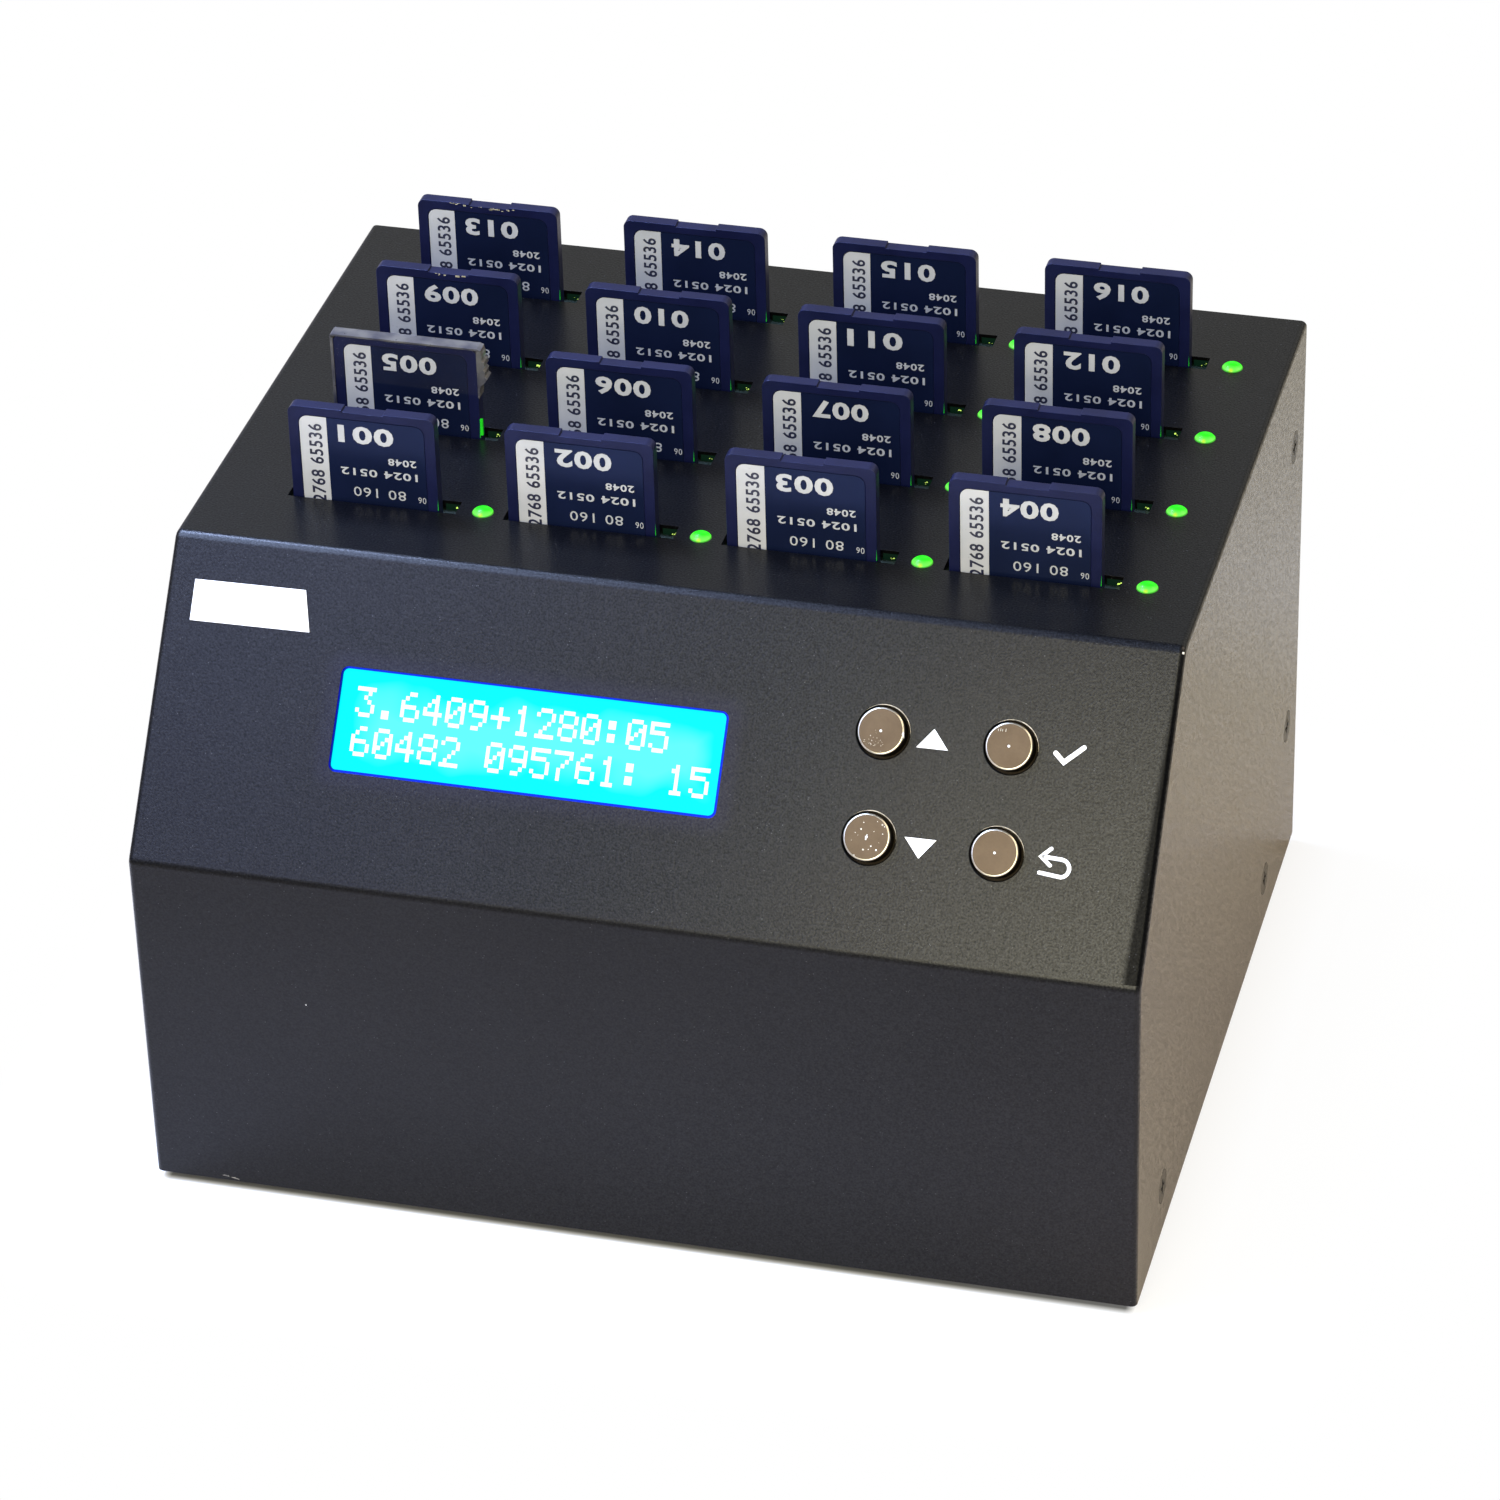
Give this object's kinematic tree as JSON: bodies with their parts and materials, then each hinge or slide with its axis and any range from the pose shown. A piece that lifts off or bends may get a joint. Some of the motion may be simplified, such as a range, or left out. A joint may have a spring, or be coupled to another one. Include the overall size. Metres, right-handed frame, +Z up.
{
  "type": "memory card duplicator",
  "caption": "Desktop memory card duplicator: folded steel case with a sloped control panel, a display, push buttons and rows of upright card slots with status lights.",
  "frame": {"origin": "centre of the bounding box on the surface that the feet stand on", "axes": "+X to the right along the width seen from the front, +Y towards the back, +Z up"},
  "size_m": [0.161, 0.1384, 0.1192],
  "materials": {
    "cover_paint": "fine-textured black powder coat",
    "chassis_steel": "zinc-plated sheet",
    "rubber": "matt",
    "black_screw": "black oxide",
    "label_plate": "satin white, blank",
    "display_frame": "satin black",
    "display_glass": "clear",
    "display_backlight": "lit from the edge",
    "circuit_board": "solder mask",
    "button_metal": "satin, turned",
    "switch_plastic": "moulded",
    "socket_plastic": "moulded",
    "brass_post": "turned",
    "steel_screw": "zinc-plated",
    "card_plastic": "moulded, with a printed label",
    "light_pipe": "clear, tinted green",
    "lamp": "lit",
    "chip": "moulded",
    "heat_sink": "black anodised",
    "header_plastic": "moulded",
    "ribbon_cable": "grey insulation",
    "inlet_plastic": "moulded",
    "nut_metal": "nickel-plated",
    "fan_plastic": "moulded",
    "lead_insulation": "smooth"
  },
  "bodies": {
    "case": {"top_cover": "cover_paint", "base_chassis": "chassis_steel", "rubber_feet": "rubber", "cover_screws": "black_screw", "front_label": "label_plate", "display_bezel": "display_frame", "display_glass": "display_glass", "display_backlight": "display_backlight", "display_board": "circuit_board", "button_board": "circuit_board", "slot_board": "circuit_board", "controller_board": "circuit_board", "key_switches": "switch_plastic", "power_switch_housing": "switch_plastic", "card_sockets_row_1": "socket_plastic", "card_sockets_row_2": "socket_plastic", "card_sockets_row_3": "socket_plastic", "card_sockets_row_4": "socket_plastic", "panel_posts": "brass_post", "slot_board_posts": "brass_post", "controller_posts": "brass_post", "board_screws": "steel_screw", "fan_screws": "steel_screw", "light_pipes": "light_pipe", "status_lamps": "lamp", "controller_chip": "chip", "heat_sink": "heat_sink", "slot_cable_headers": "header_plastic", "display_cable_headers": "header_plastic", "slot_cable": "ribbon_cable", "display_cable": "ribbon_cable", "power_jack": "inlet_plastic", "power_jack_nut": "nut_metal", "fan_frame": "fan_plastic", "power_leads": "lead_insulation", "fan_lead": "lead_insulation"},
    "card_row_1_column_1": {"card_row_1_column_1": "card_plastic"},
    "card_row_1_column_2": {"card_row_1_column_2": "card_plastic"},
    "card_row_1_column_3": {"card_row_1_column_3": "card_plastic"},
    "card_row_1_column_4": {"card_row_1_column_4": "card_plastic"},
    "card_row_2_column_1": {"card_row_2_column_1": "card_plastic"},
    "card_row_2_column_2": {"card_row_2_column_2": "card_plastic"},
    "card_row_2_column_3": {"card_row_2_column_3": "card_plastic"},
    "card_row_2_column_4": {"card_row_2_column_4": "card_plastic"},
    "card_row_3_column_1": {"card_row_3_column_1": "card_plastic"},
    "card_row_3_column_2": {"card_row_3_column_2": "card_plastic"},
    "card_row_3_column_3": {"card_row_3_column_3": "card_plastic"},
    "card_row_3_column_4": {"card_row_3_column_4": "card_plastic"},
    "card_row_4_column_1": {"card_row_4_column_1": "card_plastic"},
    "card_row_4_column_2": {"card_row_4_column_2": "card_plastic"},
    "card_row_4_column_3": {"card_row_4_column_3": "card_plastic"},
    "card_row_4_column_4": {"card_row_4_column_4": "card_plastic"},
    "button_up": {"button_up": "button_metal"},
    "button_enter": {"button_enter": "button_metal"},
    "button_down": {"button_down": "button_metal"},
    "button_back": {"button_back": "button_metal"},
    "power_rocker": {"power_rocker": "switch_plastic"},
    "fan_rotor": {"fan_rotor": "fan_plastic"}
  },
  "joints": [
    {"name": "card_row_1_column_1_slide", "type": "slide", "parent": "case", "child": "card_row_1_column_1", "axis": [0, 0, 1], "range_m": [0, 0.02]},
    {"name": "card_row_1_column_2_slide", "type": "slide", "parent": "case", "child": "card_row_1_column_2", "axis": [0, 0, 1], "range_m": [0, 0.02]},
    {"name": "card_row_1_column_3_slide", "type": "slide", "parent": "case", "child": "card_row_1_column_3", "axis": [0, 0, 1], "range_m": [0, 0.02]},
    {"name": "card_row_1_column_4_slide", "type": "slide", "parent": "case", "child": "card_row_1_column_4", "axis": [0, 0, 1], "range_m": [0, 0.02]},
    {"name": "card_row_2_column_1_slide", "type": "slide", "parent": "case", "child": "card_row_2_column_1", "axis": [0, 0, 1], "range_m": [0, 0.02]},
    {"name": "card_row_2_column_2_slide", "type": "slide", "parent": "case", "child": "card_row_2_column_2", "axis": [0, 0, 1], "range_m": [0, 0.02]},
    {"name": "card_row_2_column_3_slide", "type": "slide", "parent": "case", "child": "card_row_2_column_3", "axis": [0, 0, 1], "range_m": [0, 0.02]},
    {"name": "card_row_2_column_4_slide", "type": "slide", "parent": "case", "child": "card_row_2_column_4", "axis": [0, 0, 1], "range_m": [0, 0.02]},
    {"name": "card_row_3_column_1_slide", "type": "slide", "parent": "case", "child": "card_row_3_column_1", "axis": [0, 0, 1], "range_m": [0, 0.02]},
    {"name": "card_row_3_column_2_slide", "type": "slide", "parent": "case", "child": "card_row_3_column_2", "axis": [0, 0, 1], "range_m": [0, 0.02]},
    {"name": "card_row_3_column_3_slide", "type": "slide", "parent": "case", "child": "card_row_3_column_3", "axis": [0, 0, 1], "range_m": [0, 0.02]},
    {"name": "card_row_3_column_4_slide", "type": "slide", "parent": "case", "child": "card_row_3_column_4", "axis": [0, 0, 1], "range_m": [0, 0.02]},
    {"name": "card_row_4_column_1_slide", "type": "slide", "parent": "case", "child": "card_row_4_column_1", "axis": [0, 0, 1], "range_m": [0, 0.02]},
    {"name": "card_row_4_column_2_slide", "type": "slide", "parent": "case", "child": "card_row_4_column_2", "axis": [0, 0, 1], "range_m": [0, 0.02]},
    {"name": "card_row_4_column_3_slide", "type": "slide", "parent": "case", "child": "card_row_4_column_3", "axis": [0, 0, 1], "range_m": [0, 0.02]},
    {"name": "card_row_4_column_4_slide", "type": "slide", "parent": "case", "child": "card_row_4_column_4", "axis": [0, 0, 1], "range_m": [0, 0.02]},
    {"name": "button_up_press", "type": "slide", "parent": "case", "child": "button_up", "axis": [0, 0.7836, -0.6212], "range_m": [0, 0.0005], "stiffness_N_per_m": 4000},
    {"name": "button_enter_press", "type": "slide", "parent": "case", "child": "button_enter", "axis": [0, 0.7836, -0.6212], "range_m": [0, 0.0005], "stiffness_N_per_m": 4000},
    {"name": "button_down_press", "type": "slide", "parent": "case", "child": "button_down", "axis": [0, 0.7836, -0.6212], "range_m": [0, 0.0005], "stiffness_N_per_m": 4000},
    {"name": "button_back_press", "type": "slide", "parent": "case", "child": "button_back", "axis": [0, 0.7836, -0.6212], "range_m": [0, 0.0005], "stiffness_N_per_m": 4000},
    {"name": "power_rocker_tilt", "type": "hinge", "parent": "case", "child": "power_rocker", "pos_m": [0.032, 0.06308, 0.0276], "axis": [-1, 0, 0], "range_deg": [0, 20]},
    {"name": "fan_rotor_spin", "type": "hinge", "parent": "case", "child": "fan_rotor", "pos_m": [-0.038, 0.05858, 0.0486], "axis": [0, 1, 0], "continuous": true}
  ]
}
